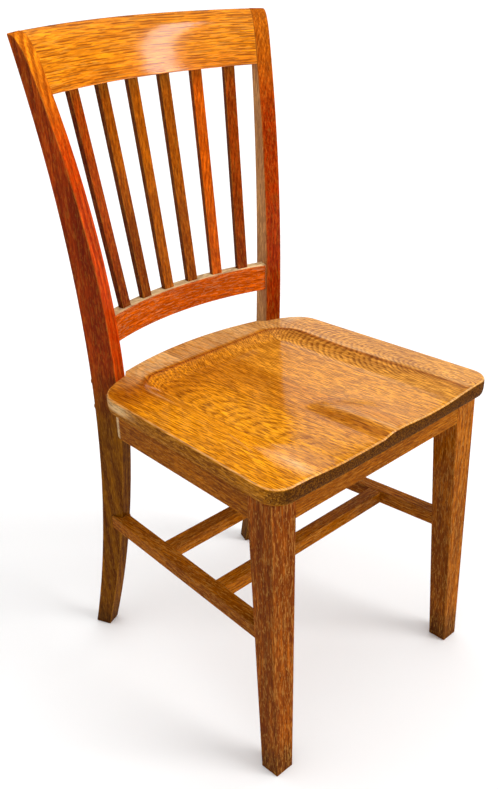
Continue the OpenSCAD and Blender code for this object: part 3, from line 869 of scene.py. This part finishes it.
def crest_section():
    """Round the crest: lower front edge, front face, rolled top, back face, lower back edge."""
    front, back = front_u(CREST_Z) + CREST_U, back_u(CREST_Z)
    pts = [(front + 1.6, CREST_Z, 0), (front + 0.5, CREST_Z + 0.5, 0),
           (front + 0.1, CREST_Z + 1.6, 0)]
    rising = [(front_u(z) + CREST_U, z) for z in range(822, 845, 6)]
    p0 = (front_u(TIP_Z) + CREST_U, TIP_Z)
    p1 = (p0[0] + TIP_LEAD, TOP_Z)
    p2 = (back_u(TOP_Z) - TIP_EDGE, TOP_Z)
    for t in (i / 10 for i in range(11)):
        share = ((1 - t) ** 2, 2 * t * (1 - t), t * t)
        rising.append([sum(k * p[axis] for k, p in zip(share, (p0, p1, p2))) for axis in (0, 1)])
    pts += [(u, z, (z - CREST_Z) / CREST_SPAN) for u, z in rising]
    pts += [(back_u(TOP_Z) - 1.0, TOP_Z - 0.5, 1), (back_u(TOP_Z) - 0.3, TOP_Z - 1.8, 1)]
    pts += [(back_u(z), z, (z - CREST_Z) / CREST_SPAN) for z in range(880, 820, -10)]
    return pts + [(back - 0.2, CREST_Z + 2, 0), (back - 0.8, CREST_Z + 0.6, 0),
                  (back - 2.4, CREST_Z, 0)]


def rounded_box(u0, u1, z0, z1, r):
    centres = ((u0 + r, z0 + r, 180), (u0 + r, z1 - r, 90),
               (u1 - r, z1 - r, 0), (u1 - r, z0 + r, -90))
    pts = []
    for cu, cz, a0 in centres:
        pts += [(u, z, 0) for u, z in arc_points(cu, cz, r, a0 + 90, a0, 4)]
    return pts


def make_back():
    mat = oak("oak_crest", 41, "x", rgb(0.93, 0.28, 0.004), depth=0.15, pith=(-0.25, 0.2),
              rings=0.2, dashes=0.85, dash_l=0.045, fine=0.5, flecks=0.30, spread=0.16,
              coat=0.8, wear=0.2, low_bands=[(0.850, 0.818, rgb(0.74, 0.17, 0.003), 0.55)])
    crest = rail_mesh((CREST_Z + TOP_Z) / 2, crest_section(), CREST_CROWN)
    new_piece("crest_board", crest, mat, "crest_rail")
    # The lower rail's top face is painted pale: a painted reflection.
    mat = oak("oak_rail", 47, "x", rgb(0.66, 0.104, 0.002), depth=0.3, pith=(-0.2, 0.3),
              rings=0.15, dashes=0.5, flecks=0.12, wear=0.9, worn=CREAM,
              sides=[((0, 0, 1), RAIL_TOP_REFLECTION, 0.85, 0.80, 0.95)])
    rail = rail_mesh((RAIL_Z + RAIL_TOP) / 2,
                     rounded_box(RAIL_U, RAIL_U + RAIL_T, RAIL_Z, RAIL_TOP, RAIL_ROUND))
    new_piece("lower_rail_board", rail, mat, "lower_back_rail")


# ---------------------------------------------------------------- carried-over nodes

MERGE, FLAT = 0.00002, math.radians(0.6)
EASE_FROM, EASE_STEPS = math.radians(35), 3
EASE = {"leg": 0.0014, "apron": 0.0010, "stretcher": 0.0012, "block": 0.0008}


def soften(name, width):
    """Eased edges on a CAD node."""
    obj = NODES[name]
    obj.modifiers.new("weld", "WELD").merge_threshold = MERGE
    flat = obj.modifiers.new("flat", "DECIMATE")
    flat.decimate_type = "DISSOLVE"
    flat.angle_limit = FLAT
    bevel = obj.modifiers.new("ease", "BEVEL")
    bevel.width = width
    bevel.segments = EASE_STEPS
    bevel.limit_method = "ANGLE"
    bevel.angle_limit = EASE_FROM
    bevel.use_clamp_overlap = False
    obj.modifiers.new("normals", "WEIGHTED_NORMAL").keep_sharp = False


def dress(name, mat, width=0.0):
    obj = NODES[name]
    obj.data.materials.clear()
    obj.data.materials.append(mat)
    if width:
        soften(name, width)


BROWN, DARK, TAN = rgb(0.33, 0.088, 0.002), rgb(0.20, 0.06, 0.004), rgb(0.62, 0.30, 0.06)
RED_LEFT, RED_RIGHT = rgb(0.64, 0.056, 0.002), rgb(0.36, 0.030, 0.001)
# Painted shade on the outer side of the left post
RED_OUTER_SHADE = rgb(0.32, 0.035, 0.001)
# The second of the two tones below is a painted reflection on the inner face of the right post.
GOLD, INNER_REFLECTION = rgb(0.90, 0.26, 0.008), rgb(0.62, 0.30, 0.10)
HEEL, FOOT = rgb(0.22, 0.068, 0.001), rgb(0.07, 0.020, 0.002)
BLOCK, BUTTON = rgb(0.45, 0.26, 0.11), rgb(0.28, 0.08, 0.008)
LEG_TONES = [rgb(0.27, 0.056, 0.002), rgb(0.31, 0.075, 0.002)]
LEG_BANDS = [(0.075, 0.015, FOOT, 0.7)]
POST_BANDS = {"left": [(0.74, 0.87, GOLD, 0.8)], "right": [(0.74, 0.87, GOLD, 0.45)]}
HEEL_BANDS = [(0.49, 0.37, HEEL, 1.0), (0.060, 0.005, FOOT, 0.85)]
# A narrow painted highlight on the rounded rear corner of the left side apron
APRON_HIGHLIGHT = {"left": [((-0.906, 0.423, 0), CREAM, 0.85, 0.955, 0.985)], "right": []}
# Each slat's tone, its share of dark at the foot, and the shadow on the sides of all
SLAT_TONES = [rgb(0.38, 0.048, 0.002), rgb(0.33, 0.066, 0.002), rgb(0.40, 0.086, 0.002),
              rgb(0.32, 0.066, 0.002), rgb(0.60, 0.090, 0.002), rgb(0.30, 0.040, 0.002)]
SLAT_DARK, SLAT_SHADE = rgb(0.15, 0.022, 0.001), (0.75, 0.5, 0.25, 0.2, 0.0, 0.35)
# Painted shadow across the tops of the slats, under the crest.
SLAT_TOP_SHADOW = [(0.790, 0.815, rgb(0.13, 0.040, 0.003), 0.6)]
UNLIT = [((-1, 0, 0), rgb(0.09, 0.016, 0.002), 0.75, 0.60, 0.90)]


def post_oak(side):
    """Redder on the left, with painted shade on its outer side; a painted pale reflection on the
    inner face of the right.
    """
    along, in_y = math.cos(POST_TURN), math.sin(POST_TURN)
    if side == "left":
        return oak("oak_post_left", 71, "z", RED_LEFT, pitch=0.009, pith=(-0.09, -0.15),
                   tilt=(0.05, 0.0), rings=0.8, flecks=0.10, wear=0.6, bands=POST_BANDS[side],
                   low_bands=HEEL_BANDS, sides=[((-along, -in_y, 0.0), RED_OUTER_SHADE, 0.9, 0.80, 0.95)])
    return oak("oak_post_right", 72, "z", RED_RIGHT, pith=(0.3, 0.4), rings=0.35, flecks=0.12,
               wear=0.6, bands=POST_BANDS[side], low_bands=HEEL_BANDS,
               sides=[((-along, in_y, 0.0), INNER_REFLECTION, 0.9, 0.80, 0.95)])


def dress_side(i, side):
    """The leg, post, apron, stretcher and blocks of one side."""
    leg = oak(f"oak_leg_{side}", 61 + i, "z", LEG_TONES[i], pith=((-0.4, 0.4)[i], -0.5),
              rings=0.35, dashes=0.5, flecks=0.30, worn=TAN, spread=0.4, bands=LEG_BANDS)
    apron = oak(f"oak_apron_{side}", 81 + i, "y", BROWN, pith=(0.1, 0.2), rings=0.4,
                dashes=0.5, flecks=0.2, sides=APRON_HIGHLIGHT[side])
    stretcher = oak(f"oak_stretcher_{side}", 91 + i, "y", BROWN, pith=(0.1, 0.1), rings=0.4,
                    dashes=0.5, flecks=0.25, worn=TAN)
    block = oak(f"wood_block_{side}", 101 + i, "z", BLOCK, coat=0.0, rough=0.6, wear=0)
    dress(f"front_leg_{side}", leg, EASE["leg"])
    dress(f"back_post_{side}", post_oak(side), EASE["leg"])
    dress(f"side_apron_{side}", apron, EASE["apron"])
    dress(f"side_stretcher_{side}", stretcher, EASE["stretcher"])
    dress(f"front_corner_block_{side}", block, EASE["block"])
    dress(f"rear_corner_block_{side}", block, EASE["block"])


def dress_cross():
    """The aprons and stretchers that run from side to side."""
    front = oak("oak_apron_front", 111, "x", BROWN, pith=(0.5, 0.1), rings=0.4)
    rear = oak("oak_apron_rear", 113, "x", DARK, pith=(0.5, 0.1), rings=0.4)
    dress("front_apron", front, EASE["apron"])
    dress("rear_apron", rear, EASE["apron"])
    for i, name in enumerate(("front_cross_stretcher", "rear_cross_stretcher")):
        dress(name, oak(f"oak_cross_{i + 1}", 121 + i, "x", BROWN, pith=(0.3, 0.1), rings=0.4,
                        flecks=0.25, worn=TAN), EASE["stretcher"])


def dress_slats():
    for i, (tone, shadow) in enumerate(zip(SLAT_TONES, SLAT_SHADE)):
        mat = oak(f"oak_slat_{i + 1}", 131 + i, "z", tone, pith=(0.2, 0.1 + 0.02 * i), rings=0.35,
                  dashes=0.5, flecks=0.10, sides=UNLIT, bands=SLAT_TOP_SHADOW,
                  low_bands=[(0.72, 0.56, SLAT_DARK, shadow)])
        dress(f"slat_{i + 1}", mat, EASE["apron"])


def dress_frame():
    for i, side in enumerate(("left", "right")):
        dress_side(i, side)
    dress_cross()
    dress_slats()
    dress("post_screw_buttons", oak("oak_button", 151, "y", BUTTON, wear=0))
    metal = steel("screw_steel")
    for name in ("post_screws", "corner_block_screws", "seat_screws"):
        dress(name, metal)


make_camera()
make_stage()
make_seat()
make_back()
dress_frame()
